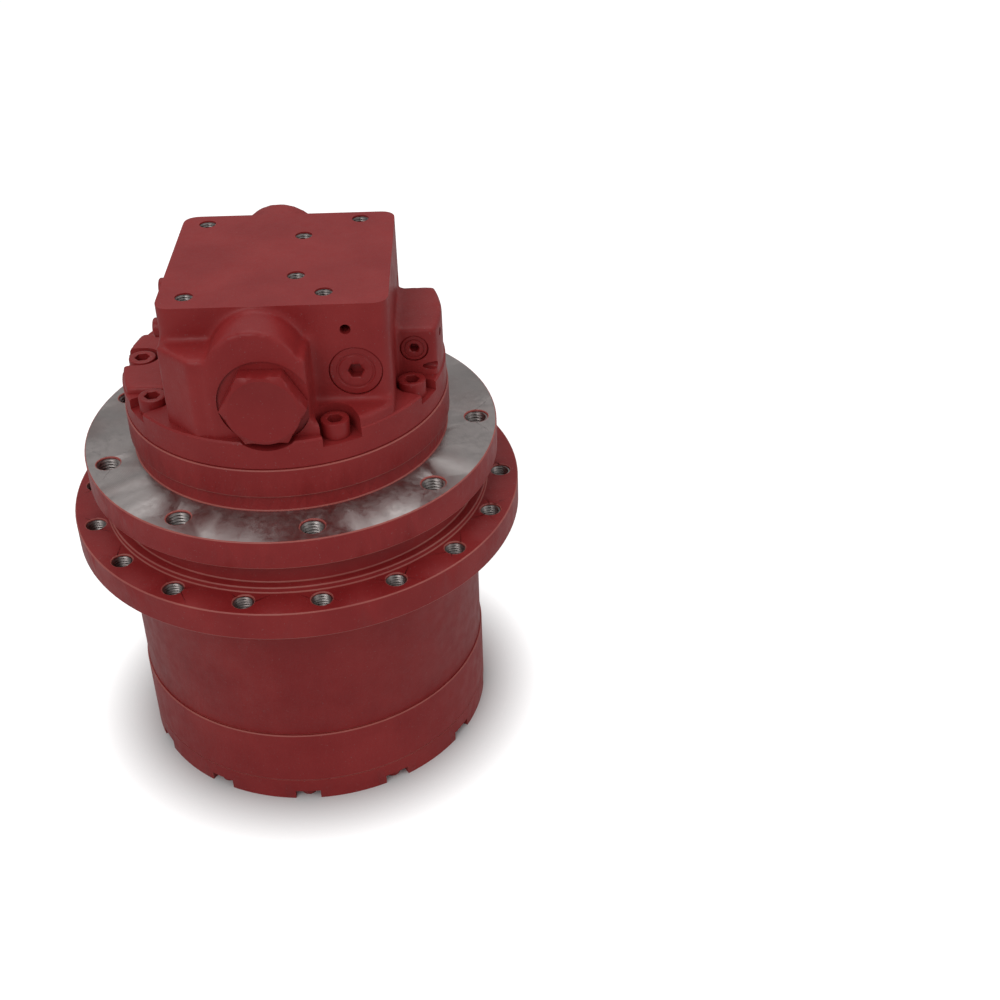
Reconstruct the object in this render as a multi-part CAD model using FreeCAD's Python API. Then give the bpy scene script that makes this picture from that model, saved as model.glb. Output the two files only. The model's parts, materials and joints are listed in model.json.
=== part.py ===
import FreeCAD, Part
import math
import os

from FreeCAD import Vector

# Hydraulic travel motor with a two-stage planetary final drive.  It stands on the
# gearbox cover, with the hydraulic motor on top.  Origin: centre of the cover's
# outer face.  +Z is the output axis, towards the motor.  Millimetres throughout.

# ---- diameters of the outside ----
BARREL_D = 223.0            # ring gear section and end cover
HOUSING_BARREL_D = 221.0    # rotating housing below the sprocket flange
SPROCKET_FLANGE_D = 275.0
SPROCKET_PILOT_D = 236.0
HOUSING_NECK_D = 225.0
FRAME_FLANGE_D = 250.0
CASING_NECK_D = 189.0
CASING_LIP_D = 193.0
REAR_BASE_D = 191.0

# ---- lengths along the axis, from the cover up ----
COVER_H = 15.3
RING_SECTION_H = 37.7
HOUSING_BARREL_H = 98.0
SPROCKET_FLANGE_H = 18.0
SPROCKET_PILOT_H = 3.5
HOUSING_NECK_H = 19.0
FLANGE_GAP = 2.8            # open gap between the housing and the frame flange
FRAME_FLANGE_H = 18.2
CASING_NECK_H = 10.0
CASING_LIP_H = 18.0
REAR_BASE_H = 17.0

# ---- bolt circles ----
SPROCKET_EDGE = 11.0        # from a hole's centre to the flange's edge
SPROCKET_HOLES = 18
SPROCKET_HOLE_D = 12.0      # M12 tapped
FRAME_EDGE = 12.5
FRAME_HOLES = 9
FRAME_HOLE_D = 14.0         # M14 tapped
FIRST_HOLE_ANGLE = 270.0
COVER_SCREWS = 12
COVER_SCREW_EDGE = 8.0
COVER_SCREW_ANGLE = 259.0
COVER_SLOT_W = 15.7
COVER_SLOT_DEPTH = 6.0
COVER_PLUG_D = 22.0
COVER_PLUG_RADIUS = 62.0
COVER_PLUG_ANGLES = (0.0, 90.0)
COVER_PLUG_SOCKET_AF = 10.0

# ---- fits and running gaps ----
SIDE_GAP = 0.3              # beside a gear, and between loose neighbours
SEAT_GAP = 0.02             # radial, pressed or seated rings
SHAFT_GAP = 0.05            # radial, running fits

# ---- gear train: both stages share one tooth form ----
GEAR_MODULE = 3.0
PRESSURE_ANGLE = 25.0
SUN_TEETH = 12
PLANET_TEETH = 24
PLANETS = 3
TOOTH_THINNING = 0.22
FIRST_PLANET_ANGLE = 90.0
STAGE_1_CLEARANCE = 2.7     # from the cover to the first planets
STAGE_1_WIDTH = 18.0
STAGE_GAP = 8.2             # from the first carrier to the second planets
STAGE_2_WIDTH = 28.0
CARRIER_THICK = 11.5
FIXED_CARRIER_THICK = 13.7
TEETH_RUN_OUT = 4.0
CARRIER_EDGE = 16.0         # metal round each pin of the first carrier
PIN_1_D = 20.0
PIN_2_D = 24.0
SPLINE_GAP = 0.1
SUN_SHAFT_D = 19.0
SUN_2_BORE_D = 21.0

# ---- main bearing ----
MAIN_BORE_D = 150.0
MAIN_OUTER_D = 190.0
MAIN_LENGTH = 52.0          # two rows back to back
MAIN_RACE_GAP = 0.6
HUB_GAP = 1.0               # round the casing's hub, above the bearing

# ---- motor inside the casing ----
MOTOR_CAVITY_D = 120.0
SPINDLE_BORE_L = 33.0
SWASH_TILT = 12.0
SWASH_D = 92.0
SWASH_BORE_D = 42.0
SWASH_CENTRE_H = 16.0
SHAFT_D = 28.0
SHAFT_BEARING_D = 52.0
SHAFT_BEARING_W = 15.0
SHAFT_NOSE_D = 18.0
SHAFT_NOSE_L = 13.0
COUPLING_OVERLAP = 5.0      # how far the motor shaft reaches below the spindle's end
COUPLING_DEPTH = 16.0
ROTOR_D = 88.0
ROTOR_LIFT = 39.0           # from the swash plate's seat to the barrel
VALVE_PLATE_D = 84.0
VALVE_PLATE_H = 3.5

# ---- rear cover, in its own turned frame; heights are above the round base ----
BLOCK_TURN = -10.7
BLOCK_LEFT = -59.0
BLOCK_RIGHT = 67.5
BLOCK_FRONT = -62.0
BLOCK_BACK = 59.5
BLOCK_H = 66.0
BOSS_FRONT = -88.0
BOSS_BACK = 82.0
BOSS_X = -5.0
BOSS_R = 26.0
BOSS_AXIS_H = 38.0
SHELF_RIGHT = 23.0
SHELF_H = 46.5
LAND_H = 6.5
WING_R = 94.5
WING_FRONT = -26.0
WING_BACK = 29.5
WING_H = 30.5
LEFT_LAND_FRONT = -37.0
LEFT_LAND_BACK = 30.0
LEFT_LAND_H = 4.0
CORNER_R = 7.0
SPOOL_X = -1.0
SPOOL_H = 21.0
SPOOL_D = 25.0
SPOOL_WAIST_D = 17.0
SPOOL_WAIST_L = 24.0
SPOOL_TRAVEL = 4.0
HEX_AF = 41.0
HEX_H = 11.0
HEX_SHANK_D = 33.0
HEX_SHANK_L = 16.0
HEX_SPOT_D = 51.4
HEX_SPOT_DEPTH = 1.5
REAR_SCREW_EDGE = 11.0
SCREW_SEAT_DEPTH = 6.0
# angle and radius, open to the rim
OPEN_POCKETS = ((-65.6, 11.4), (-25.2, 9.2), (180.0, 10.5), (212.8, 9.4))
CUP_ANGLES = (27.5, 65.6, 122.0, 147.2)
CUP_R = 9.2
TOP_HOLE_D = 10.0           # M10 tapped
TOP_HOLE_DEPTH = 18.0
TOP_HOLES = ((-44.0, 48.0), (47.0, 50.0), (15.0, 28.0), (15.0, -25.0), (32.0, -46.5), (-44.0, -48.0))

# ---- plugs and ports of the rear cover ----
FLUSH_PLUG = (47.3, 24.4, 30.0)                    # x, height and diameter, front face
WING_PLUG = (78.3, 18.0, 16.6)
PLUG_DEPTH = 12.0
PLUG_SINK = 0.4
PLUG_GAP = 0.15
SOCKET_DEPTH = 7.0
FLUSH_SOCKET_AF = 8.0
WING_SOCKET_AF = 5.0
SIDE_PLUGS = ((-18.0, 57.5), (-47.0, 47.5))        # y and height, left face
SIDE_PLUG_D = 11.0
SIDE_PLUG_H = 4.0
MAIN_PORT_Y = 24.0
MAIN_PORT_H = 34.0
MAIN_PORT_D = 26.4
MAIN_PORT_DEPTH = 20.0
BACK_PORT_X = 45.0
BACK_PORTS = ((18.0, 20.9), (40.0, 13.2))          # height and diameter: drain, brake pilot
BACK_PORT_DEPTH = 15.0

# ---- levels and places that follow from the sizes above ----
RING_TOP = COVER_H + RING_SECTION_H
SPROCKET_FLANGE_BOTTOM = RING_TOP + HOUSING_BARREL_H
SPROCKET_FLANGE_TOP = SPROCKET_FLANGE_BOTTOM + SPROCKET_FLANGE_H
HOUSING_TOP = SPROCKET_FLANGE_TOP + HOUSING_NECK_H
FRAME_FLANGE_BOTTOM = HOUSING_TOP + FLANGE_GAP
FRAME_FLANGE_TOP = FRAME_FLANGE_BOTTOM + FRAME_FLANGE_H
CASING_NECK_TOP = FRAME_FLANGE_TOP + CASING_NECK_H
CASING_TOP = CASING_NECK_TOP + CASING_LIP_H
BASE_TOP = CASING_TOP + REAR_BASE_H
BLOCK_TOP = BASE_TOP + BLOCK_H
BOSS_AXIS_Z = BASE_TOP + BOSS_AXIS_H
SPOOL_Z = BASE_TOP + SPOOL_H
SCREW_SEAT = BASE_TOP - SCREW_SEAT_DEPTH
WING_TOP = BASE_TOP + WING_H
STAGE_1_BOTTOM = COVER_H + STAGE_1_CLEARANCE
STAGE_1_TOP = STAGE_1_BOTTOM + STAGE_1_WIDTH
CARRIER_BOTTOM = STAGE_1_TOP + SIDE_GAP
CARRIER_TOP = CARRIER_BOTTOM + CARRIER_THICK
STAGE_2_BOTTOM = CARRIER_TOP + STAGE_GAP
STAGE_2_TOP = STAGE_2_BOTTOM + STAGE_2_WIDTH
TEETH_TOP = STAGE_2_TOP + TEETH_RUN_OUT
FIXED_CARRIER_BOTTOM = STAGE_2_TOP + SIDE_GAP
SPINDLE_END = FIXED_CARRIER_BOTTOM + FIXED_CARRIER_THICK
SHOULDER = SPINDLE_END + MAIN_LENGTH
RACE_MIDDLE_D = (MAIN_BORE_D + MAIN_OUTER_D) / 2
SWASH_FLOOR = SPINDLE_END + SPINDLE_BORE_L
SHAFT_TOP = CASING_TOP + SHAFT_NOSE_L
ROTOR_BOTTOM = SWASH_FLOOR + ROTOR_LIFT
ROTOR_TOP = CASING_TOP - VALVE_PLATE_H
COUPLING_BOTTOM = SPINDLE_END - COUPLING_OVERLAP
COUPLING_TOP = COUPLING_BOTTOM + COUPLING_DEPTH
RING_TEETH = SUN_TEETH + 2 * PLANET_TEETH
GEAR_CENTRES = GEAR_MODULE * (SUN_TEETH + PLANET_TEETH) / 2
REAR_SCREW_R = REAR_BASE_D / 2 - REAR_SCREW_EDGE
SPOOL_SEAT_FRONT = BOSS_FRONT + HEX_SPOT_DEPTH
SPOOL_SEAT_BACK = BOSS_BACK - HEX_SPOT_DEPTH

UP = Vector(0, 0, 1)
ORIGIN = Vector(0, 0, 0)


# ---- small helpers ----

def cylinder(radius, bottom, top, x=0.0, y=0.0):
    """Upright cylinder between two heights."""
    return Part.makeCylinder(radius, top - bottom, Vector(x, y, bottom), UP)


def bar(radius, start, end, x, z):
    """Cylinder along Y between two Y positions."""
    return Part.makeCylinder(radius, end - start, Vector(x, start, z), Vector(0, 1, 0))


def box(x0, x1, y0, y1, z0, z1):
    """Box between two corners."""
    return Part.makeBox(x1 - x0, y1 - y0, z1 - z0, Vector(x0, y0, z0))


def flat(points):
    """Flat face inside a closed outline."""
    return Part.Face(Part.makePolygon(points + points[:1]))


def turned(profile):
    """Solid of revolution about Z from a closed outline of (radius, height)."""
    return flat([Vector(r, 0, z) for r, z in profile]).revolve(ORIGIN, UP, 360)


def ring(inner_d, outer_d, bottom, top):
    """Plain ring of rectangular section."""
    inner = inner_d / 2
    outer = outer_d / 2
    return turned([(inner, bottom), (outer, bottom), (outer, top), (inner, top)])


def spun(shape, angle):
    """Copy of a shape turned about the main axis."""
    copy = shape.copy()
    copy.rotate(ORIGIN, UP, angle)
    return copy


def pattern(shape, angles):
    """Copies of a shape turned to each angle about the main axis."""
    return [spun(shape, angle) for angle in angles]


def even_angles(count, start):
    """Evenly spaced angles round the axis."""
    return [start + 360.0 * i / count for i in range(count)]


def polar(radius, angle):
    """X and Y of a point at an angle in degrees."""
    return radius * math.cos(math.radians(angle)), radius * math.sin(math.radians(angle))


def hex_bar(across_flats, start, end, x, z):
    """Hexagonal bar along Y, with corners to left and right."""
    points = []
    for i in range(6):
        dx, dz = polar(across_flats / math.sqrt(3), 60 * i)
        points.append(Vector(x + dx, start, z + dz))
    return flat(points).extrude(Vector(0, end - start, 0))


def hex_socket(across_flats, bottom, top, x):
    """Upright hexagonal room for a key."""
    points = []
    for i in range(6):
        dx, dy = polar(across_flats / math.sqrt(3), 60 * i)
        points.append(Vector(x + dx, dy, bottom))
    return flat(points).extrude(Vector(0, 0, top - bottom))


def clipped(shape, radius):
    """The part of a shape inside an upright cylinder."""
    return shape.common(cylinder(radius, 0, 2 * BLOCK_TOP))


def save(name, shape):
    """Write one node."""
    shape.exportStep(os.path.join("parts", name + ".step"))


# ---- gear teeth ----

PLANET_ANGLES = even_angles(PLANETS, FIRST_PLANET_ANGLE)


def involute(angle):
    """Involute function of an angle in radians."""
    return math.tan(angle) - angle


def half_angle(radius, teeth, widening):
    """Half the angle of a tooth, or of a ring gear's tooth space, at a radius."""
    pitch_r = GEAR_MODULE * teeth / 2
    pressure = math.radians(PRESSURE_ANGLE)
    at_radius = math.acos(min(1.0, pitch_r * math.cos(pressure) / radius))
    width = math.pi * GEAR_MODULE / 2 + widening
    return width / (2 * pitch_r) + involute(pressure) - involute(at_radius)


def toothed_face(teeth, low_r, high_r, widening, chords, phase, z):
    """Flat gear outline whose involute flanks are cut into a few chords."""
    base_r = GEAR_MODULE * teeth / 2 * math.cos(math.radians(PRESSURE_ANGLE))
    start_r = max(low_r, base_r)
    radii = [start_r + (high_r - start_r) * i / chords for i in range(chords + 1)]
    flank = [(r, half_angle(r, teeth, widening)) for r in radii]
    if start_r - low_r > 0.5:
        flank.insert(0, (low_r, flank[0][1]))
    points = []
    for tooth in range(teeth):
        middle = math.radians(phase + 360.0 * tooth / teeth)
        for r, half in flank:
            points.append(Vector(r * math.cos(middle - half), r * math.sin(middle - half), z))
        for r, half in reversed(flank):
            points.append(Vector(r * math.cos(middle + half), r * math.sin(middle + half), z))
    return flat(points)


def external_gear(teeth, bottom, top, phase, chords):
    """Spur gear on the main axis, with a tooth centred on the phase angle."""
    pitch_r = GEAR_MODULE * teeth / 2
    face = toothed_face(teeth, pitch_r - 1.25 * GEAR_MODULE, pitch_r + GEAR_MODULE,
                        -TOOTH_THINNING, chords, phase, bottom)
    return face.extrude(Vector(0, 0, top - bottom))


def ring_gear_room(bottom, top):
    """The room inside a ring gear: cutting it out leaves the internal teeth."""
    pitch_r = GEAR_MODULE * RING_TEETH / 2
    phase = FIRST_PLANET_ANGLE + 180.0 / RING_TEETH
    face = toothed_face(RING_TEETH, pitch_r - GEAR_MODULE, pitch_r + 1.25 * GEAR_MODULE,
                        TOOTH_THINNING, 1, phase, bottom)
    return face.extrude(Vector(0, 0, top - bottom))


def planet(angle, bottom, top, pin_d):
    """One planet gear at its place, with a tooth space towards the sun."""
    gear = external_gear(PLANET_TEETH, bottom, top, angle + 180.0 / PLANET_TEETH, 1)
    gear = gear.cut(cylinder(pin_d / 2 + SHAFT_GAP, bottom, top))
    x, y = polar(GEAR_CENTRES, angle)
    gear.translate(Vector(x, y, 0))
    return gear


def planet_pins(pin_d, bottom, top):
    """Upright pins at the planets' centres."""
    return [cylinder(pin_d / 2, bottom, top, *polar(GEAR_CENTRES, angle)) for angle in PLANET_ANGLES]


def planet_carrier():
    """First-stage carrier: rounded triangle, three pins and a splined hub for the second sun."""
    corners = [Vector(*polar(GEAR_CENTRES, angle), CARRIER_BOTTOM) for angle in PLANET_ANGLES]
    outline = Part.makePolygon(corners + corners[:1]).makeOffset2D(CARRIER_EDGE)
    plate = Part.Face(outline).extrude(Vector(0, 0, CARRIER_THICK))
    plate = plate.fuse(planet_pins(PIN_1_D, STAGE_1_BOTTOM, CARRIER_TOP)).removeSplitter()
    pitch_r = GEAR_MODULE * SUN_TEETH / 2
    spline = toothed_face(SUN_TEETH, pitch_r - 1.25 * GEAR_MODULE + SPLINE_GAP,
                          pitch_r + GEAR_MODULE + SPLINE_GAP, 2 * SPLINE_GAP - TOOTH_THINNING, 2,
                          FIRST_PLANET_ANGLE, CARRIER_BOTTOM)
    return plate.cut(spline.extrude(Vector(0, 0, CARRIER_THICK)))


def fixed_carrier():
    """Second-stage carrier on the spindle's end; it also holds the main bearing's inner ring."""
    plate = ring(SHAFT_BEARING_D, MAIN_BORE_D + 10, FIXED_CARRIER_BOTTOM, SPINDLE_END)
    return plate.fuse(planet_pins(PIN_2_D, STAGE_2_BOTTOM, SPINDLE_END)).removeSplitter()


def sun_gear_1():
    """First-stage sun gear on its long shaft."""
    gear = external_gear(SUN_TEETH, STAGE_1_BOTTOM, STAGE_1_TOP, FIRST_PLANET_ANGLE, 2)
    shaft = cylinder(SUN_SHAFT_D / 2, COVER_H + SIDE_GAP, COUPLING_TOP - 1)
    return gear.fuse(shaft).removeSplitter()


def sun_gear_2():
    """Second-stage sun: a hollow pinion whose lower end fills the carrier's spline."""
    gear = external_gear(SUN_TEETH, CARRIER_BOTTOM + 1, STAGE_2_TOP, FIRST_PLANET_ANGLE, 2)
    return gear.cut(cylinder(SUN_2_BORE_D / 2, CARRIER_BOTTOM, STAGE_2_TOP))


# ---- gearbox casings ----

def end_cover():
    """Gearbox cover with an open slot at the rim for each screw head and two plug bores."""
    body = cylinder(BARREL_D / 2, 0, COVER_H)
    screw_r = BARREL_D / 2 - COVER_SCREW_EDGE
    half_w = COVER_SLOT_W / 2
    slot = box(screw_r, BARREL_D / 2 + half_w, -half_w, half_w, 0, COVER_SLOT_DEPTH)
    slot = slot.fuse(cylinder(half_w, 0, COVER_SLOT_DEPTH, screw_r)).removeSplitter()
    bore = cylinder(COVER_PLUG_D / 2, 0, COVER_H, COVER_PLUG_RADIUS)
    slots = pattern(slot, even_angles(COVER_SCREWS, COVER_SCREW_ANGLE))
    return body.cut(slots + pattern(bore, COVER_PLUG_ANGLES))


def cover_plugs():
    """Fill and drain plugs, just under the cover's face, each with a key socket."""
    radius = COVER_PLUG_D / 2 - SHAFT_GAP
    plug = cylinder(radius, PLUG_SINK, COVER_H, COVER_PLUG_RADIUS)
    plug = plug.cut(hex_socket(COVER_PLUG_SOCKET_AF, 0, SOCKET_DEPTH, COVER_PLUG_RADIUS))
    return Part.makeCompound(pattern(plug, COVER_PLUG_ANGLES))


def ring_gear():
    """Lower barrel with the internal teeth of the first stage."""
    return cylinder(BARREL_D / 2, COVER_H, RING_TOP).cut(ring_gear_room(COVER_H, RING_TOP))


def sprocket_housing():
    """Rotating housing with the sprocket flange and the second stage's internal teeth."""
    bore_r = MAIN_OUTER_D / 2 + SEAT_GAP
    pilot_top = SPROCKET_FLANGE_TOP + SPROCKET_PILOT_H
    body = turned([
        (0, RING_TOP), (HOUSING_BARREL_D / 2, RING_TOP),
        (HOUSING_BARREL_D / 2, SPROCKET_FLANGE_BOTTOM), (SPROCKET_FLANGE_D / 2, SPROCKET_FLANGE_BOTTOM),
        (SPROCKET_FLANGE_D / 2, SPROCKET_FLANGE_TOP), (SPROCKET_PILOT_D / 2, SPROCKET_FLANGE_TOP),
        (SPROCKET_PILOT_D / 2, pilot_top), (HOUSING_NECK_D / 2, pilot_top),
        (HOUSING_NECK_D / 2, HOUSING_TOP), (bore_r, HOUSING_TOP), (bore_r, TEETH_TOP), (0, TEETH_TOP)])
    body = body.cut(ring_gear_room(RING_TOP, TEETH_TOP))
    hole_r = SPROCKET_FLANGE_D / 2 - SPROCKET_EDGE
    hole = cylinder(SPROCKET_HOLE_D / 2, SPROCKET_FLANGE_BOTTOM, SPROCKET_FLANGE_TOP, hole_r)
    return body.cut(pattern(hole, even_angles(SPROCKET_HOLES, FIRST_HOLE_ANGLE)))


def motor_casing():
    """Fixed casing: spindle for the main bearing, hub, frame flange and motor cavity."""
    hub_r = MAIN_OUTER_D / 2 - HUB_GAP
    bore_r = SHAFT_BEARING_D / 2 + SEAT_GAP
    body = turned([
        (bore_r, SPINDLE_END), (MAIN_BORE_D / 2, SPINDLE_END), (MAIN_BORE_D / 2, SHOULDER),
        (RACE_MIDDLE_D / 2 - MAIN_RACE_GAP, SHOULDER),
        (RACE_MIDDLE_D / 2 - MAIN_RACE_GAP, SHOULDER + HUB_GAP),
        (hub_r, SHOULDER + HUB_GAP), (hub_r, FRAME_FLANGE_BOTTOM),
        (FRAME_FLANGE_D / 2, FRAME_FLANGE_BOTTOM), (FRAME_FLANGE_D / 2, FRAME_FLANGE_TOP),
        (CASING_NECK_D / 2, FRAME_FLANGE_TOP), (CASING_NECK_D / 2, CASING_NECK_TOP),
        (CASING_LIP_D / 2, CASING_NECK_TOP), (CASING_LIP_D / 2, CASING_TOP),
        (MOTOR_CAVITY_D / 2, CASING_TOP), (MOTOR_CAVITY_D / 2, SWASH_FLOOR), (bore_r, SWASH_FLOOR)])
    hole_r = FRAME_FLANGE_D / 2 - FRAME_EDGE
    hole = cylinder(FRAME_HOLE_D / 2, FRAME_FLANGE_BOTTOM, FRAME_FLANGE_TOP, hole_r)
    return body.cut(pattern(hole, even_angles(FRAME_HOLES, FIRST_HOLE_ANGLE)))


def main_bearing():
    """Inner and outer ring of the double-row main bearing."""
    inner = ring(MAIN_BORE_D + 2 * SEAT_GAP, RACE_MIDDLE_D - MAIN_RACE_GAP, SPINDLE_END, SHOULDER)
    outer = ring(RACE_MIDDLE_D + MAIN_RACE_GAP, MAIN_OUTER_D, SPINDLE_END, SHOULDER)
    return inner, outer


# ---- motor ----

def drive_shaft():
    """Motor shaft, hollow at the lower end for the first sun's shaft."""
    coupling_r = SUN_SHAFT_D / 2 + SHAFT_GAP
    return turned([
        (coupling_r, COUPLING_BOTTOM), (SHAFT_D / 2, COUPLING_BOTTOM), (SHAFT_D / 2, CASING_TOP - SIDE_GAP),
        (SHAFT_NOSE_D / 2, CASING_TOP - SIDE_GAP), (SHAFT_NOSE_D / 2, SHAFT_TOP), (0, SHAFT_TOP),
        (0, COUPLING_TOP), (coupling_r, COUPLING_TOP)])


def shaft_bearing():
    """Front bearing of the motor shaft, flush with the floor of the motor cavity."""
    return ring(SHAFT_D + 2 * SHAFT_GAP, SHAFT_BEARING_D, SWASH_FLOOR - SHAFT_BEARING_W, SWASH_FLOOR)


def swash_plate():
    """Round plate with a flat back and a sloping face for the piston shoes."""
    body = ring(SWASH_BORE_D, SWASH_D, SWASH_FLOOR, SWASH_FLOOR + SWASH_D)
    centre = Vector(0, 0, SWASH_FLOOR + SWASH_CENTRE_H)
    waste = Part.makeBox(SWASH_D * 2, SWASH_D * 2, SWASH_D * 2, centre - Vector(SWASH_D, SWASH_D, 0))
    waste.rotate(centre, Vector(1, 0, 0), SWASH_TILT)
    return body.cut(waste)


def cylinder_block():
    """Barrel that turns with the shaft."""
    return ring(SHAFT_D + 2 * SHAFT_GAP, ROTOR_D, ROTOR_BOTTOM, ROTOR_TOP)


def valve_plate():
    """Flat port plate between the barrel and the rear cover."""
    return ring(SHAFT_D + 4, VALVE_PLATE_D, ROTOR_TOP, CASING_TOP)


# ---- rear cover ----

def filleted_block():
    """Square block on top of the cover, with rounded corners."""
    block = box(BLOCK_LEFT, BLOCK_RIGHT, BLOCK_FRONT, BLOCK_BACK, BASE_TOP, BLOCK_TOP)
    upright = [edge for edge in block.Edges if abs(edge.tangentAt(edge.FirstParameter).z) > 0.9]
    return block.makeFillet(CORNER_R, upright)


def rear_cover_body():
    """Round base, square block, spool boss, shelf, lands and wing."""
    boss_left = BOSS_X - BOSS_R
    boss_right = BOSS_X + BOSS_R
    base = cylinder(REAR_BASE_D / 2, CASING_TOP, BASE_TOP)
    boss = box(boss_left, boss_right, BOSS_FRONT, BOSS_BACK, BASE_TOP, BOSS_AXIS_Z)
    crown = bar(BOSS_R, BOSS_FRONT, BOSS_BACK, BOSS_X, BOSS_AXIS_Z)
    base_r = REAR_BASE_D / 2
    shelf = clipped(box(BLOCK_LEFT, SHELF_RIGHT, BOSS_FRONT, 0, BASE_TOP, BASE_TOP + SHELF_H), base_r)
    land = clipped(box(0, BLOCK_RIGHT, BOSS_FRONT, 0, BASE_TOP, BASE_TOP + LAND_H), base_r)
    wing = clipped(box(0, REAR_BASE_D, WING_FRONT, WING_BACK, BASE_TOP, WING_TOP), WING_R)
    left_top = BASE_TOP + LEFT_LAND_H
    left_land = box(-REAR_BASE_D, 0, LEFT_LAND_FRONT, LEFT_LAND_BACK, BASE_TOP, left_top)
    pieces = [filleted_block(), boss, crown, shelf, land, wing, clipped(left_land, base_r)]
    return base.fuse(pieces).removeSplitter()


def screw_pockets():
    """Room for the heads of the rear cover's cap screws."""
    rooms = []
    for angle, room_r in OPEN_POCKETS:
        room = cylinder(room_r, SCREW_SEAT, WING_TOP, REAR_SCREW_R)
        way_out = box(REAR_SCREW_R, REAR_BASE_D, -room_r, room_r, SCREW_SEAT, WING_TOP)
        rooms.append(spun(room.fuse(way_out).removeSplitter(), angle))
    return rooms + pattern(cylinder(CUP_R, SCREW_SEAT, BASE_TOP, REAR_SCREW_R), CUP_ANGLES)


def spool_rooms():
    """Through bore for the spool, with a threaded end and a spot face at front and back."""
    return [
        bar(SPOOL_D / 2, SPOOL_SEAT_FRONT, SPOOL_SEAT_BACK, SPOOL_X, SPOOL_Z),
        bar(HEX_SHANK_D / 2, SPOOL_SEAT_FRONT, SPOOL_SEAT_FRONT + HEX_SHANK_L, SPOOL_X, SPOOL_Z),
        bar(HEX_SHANK_D / 2, SPOOL_SEAT_BACK - HEX_SHANK_L, SPOOL_SEAT_BACK, SPOOL_X, SPOOL_Z),
        bar(HEX_SPOT_D / 2, SPOOL_SEAT_FRONT - HEX_SPOT_D, SPOOL_SEAT_FRONT, SPOOL_X, SPOOL_Z),
        bar(HEX_SPOT_D / 2, SPOOL_SEAT_BACK, SPOOL_SEAT_BACK + HEX_SPOT_D, SPOOL_X, SPOOL_Z)]


def plug_bore(place, face):
    """Bore along Y for a flush plug: x, height and diameter."""
    x, height, diameter = place
    return bar(diameter / 2, face, face + PLUG_DEPTH, x, BASE_TOP + height)


def rear_cover():
    """Ported rear cover of the motor."""
    rooms = screw_pockets() + spool_rooms()
    hole_bottom = BLOCK_TOP - TOP_HOLE_DEPTH
    rooms += [cylinder(TOP_HOLE_D / 2, hole_bottom, BLOCK_TOP, x, y) for x, y in TOP_HOLES]
    rooms += [plug_bore(FLUSH_PLUG, BLOCK_FRONT), plug_bore(WING_PLUG, WING_FRONT)]
    for y in (-MAIN_PORT_Y, MAIN_PORT_Y):
        start = Vector(BLOCK_LEFT, y, BASE_TOP + MAIN_PORT_H)
        rooms.append(Part.makeCylinder(MAIN_PORT_D / 2, MAIN_PORT_DEPTH, start, Vector(1, 0, 0)))
    for height, diameter in BACK_PORTS:
        port = bar(diameter / 2, BLOCK_BACK - BACK_PORT_DEPTH, BLOCK_BACK, BACK_PORT_X, BASE_TOP + height)
        rooms.append(port)
    rooms.append(cylinder(SHAFT_NOSE_D / 2 + SHAFT_GAP, CASING_TOP, SHAFT_TOP + 1))
    return spun(rear_cover_body().cut(rooms), BLOCK_TURN)


def hex_plug(seat, out):
    """Hexagon plug for one end of the spool bore; out is -1 at the front and 1 at the back."""
    ends = sorted((seat, seat + out * HEX_H))
    shank_ends = sorted((seat, seat - out * HEX_SHANK_L))
    head = hex_bar(HEX_AF, *ends, SPOOL_X, SPOOL_Z)
    shank = bar(HEX_SHANK_D / 2 - SHAFT_GAP, *shank_ends, SPOOL_X, SPOOL_Z)
    return spun(head.fuse(shank).removeSplitter(), BLOCK_TURN)


def socket_plug(place, face, socket_af):
    """Flush round plug with a hexagon socket, in a front-facing wall."""
    x, height, diameter = place
    z = BASE_TOP + height
    plug = bar(diameter / 2 - PLUG_GAP, face + PLUG_SINK, face + PLUG_DEPTH, x, z)
    return spun(plug.cut(hex_bar(socket_af, face, face + SOCKET_DEPTH, x, z)), BLOCK_TURN)


def side_plugs():
    """Two small plugs whose heads stand out of the left face."""
    heads = []
    for y, height in SIDE_PLUGS:
        start = Vector(BLOCK_LEFT, y, BASE_TOP + height)
        heads.append(Part.makeCylinder(SIDE_PLUG_D / 2, SIDE_PLUG_H, start, Vector(-1, 0, 0)))
    return spun(Part.makeCompound(heads), BLOCK_TURN)


def counterbalance_spool():
    """Spool with a waist at the middle, free to slide between the two hexagon plugs."""
    middle = (SPOOL_SEAT_FRONT + SPOOL_SEAT_BACK) / 2
    reach = (SPOOL_SEAT_BACK - SPOOL_SEAT_FRONT) / 2 - HEX_SHANK_L - SPOOL_TRAVEL - 0.5
    half_waist = SPOOL_WAIST_L / 2
    land_r = SPOOL_D / 2 - SHAFT_GAP
    lands = [bar(land_r, middle - reach, middle - half_waist, SPOOL_X, SPOOL_Z),
             bar(land_r, middle + half_waist, middle + reach, SPOOL_X, SPOOL_Z)]
    waist = bar(SPOOL_WAIST_D / 2, middle - half_waist, middle + half_waist, SPOOL_X, SPOOL_Z)
    return spun(waist.fuse(lands).removeSplitter(), BLOCK_TURN)


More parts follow.
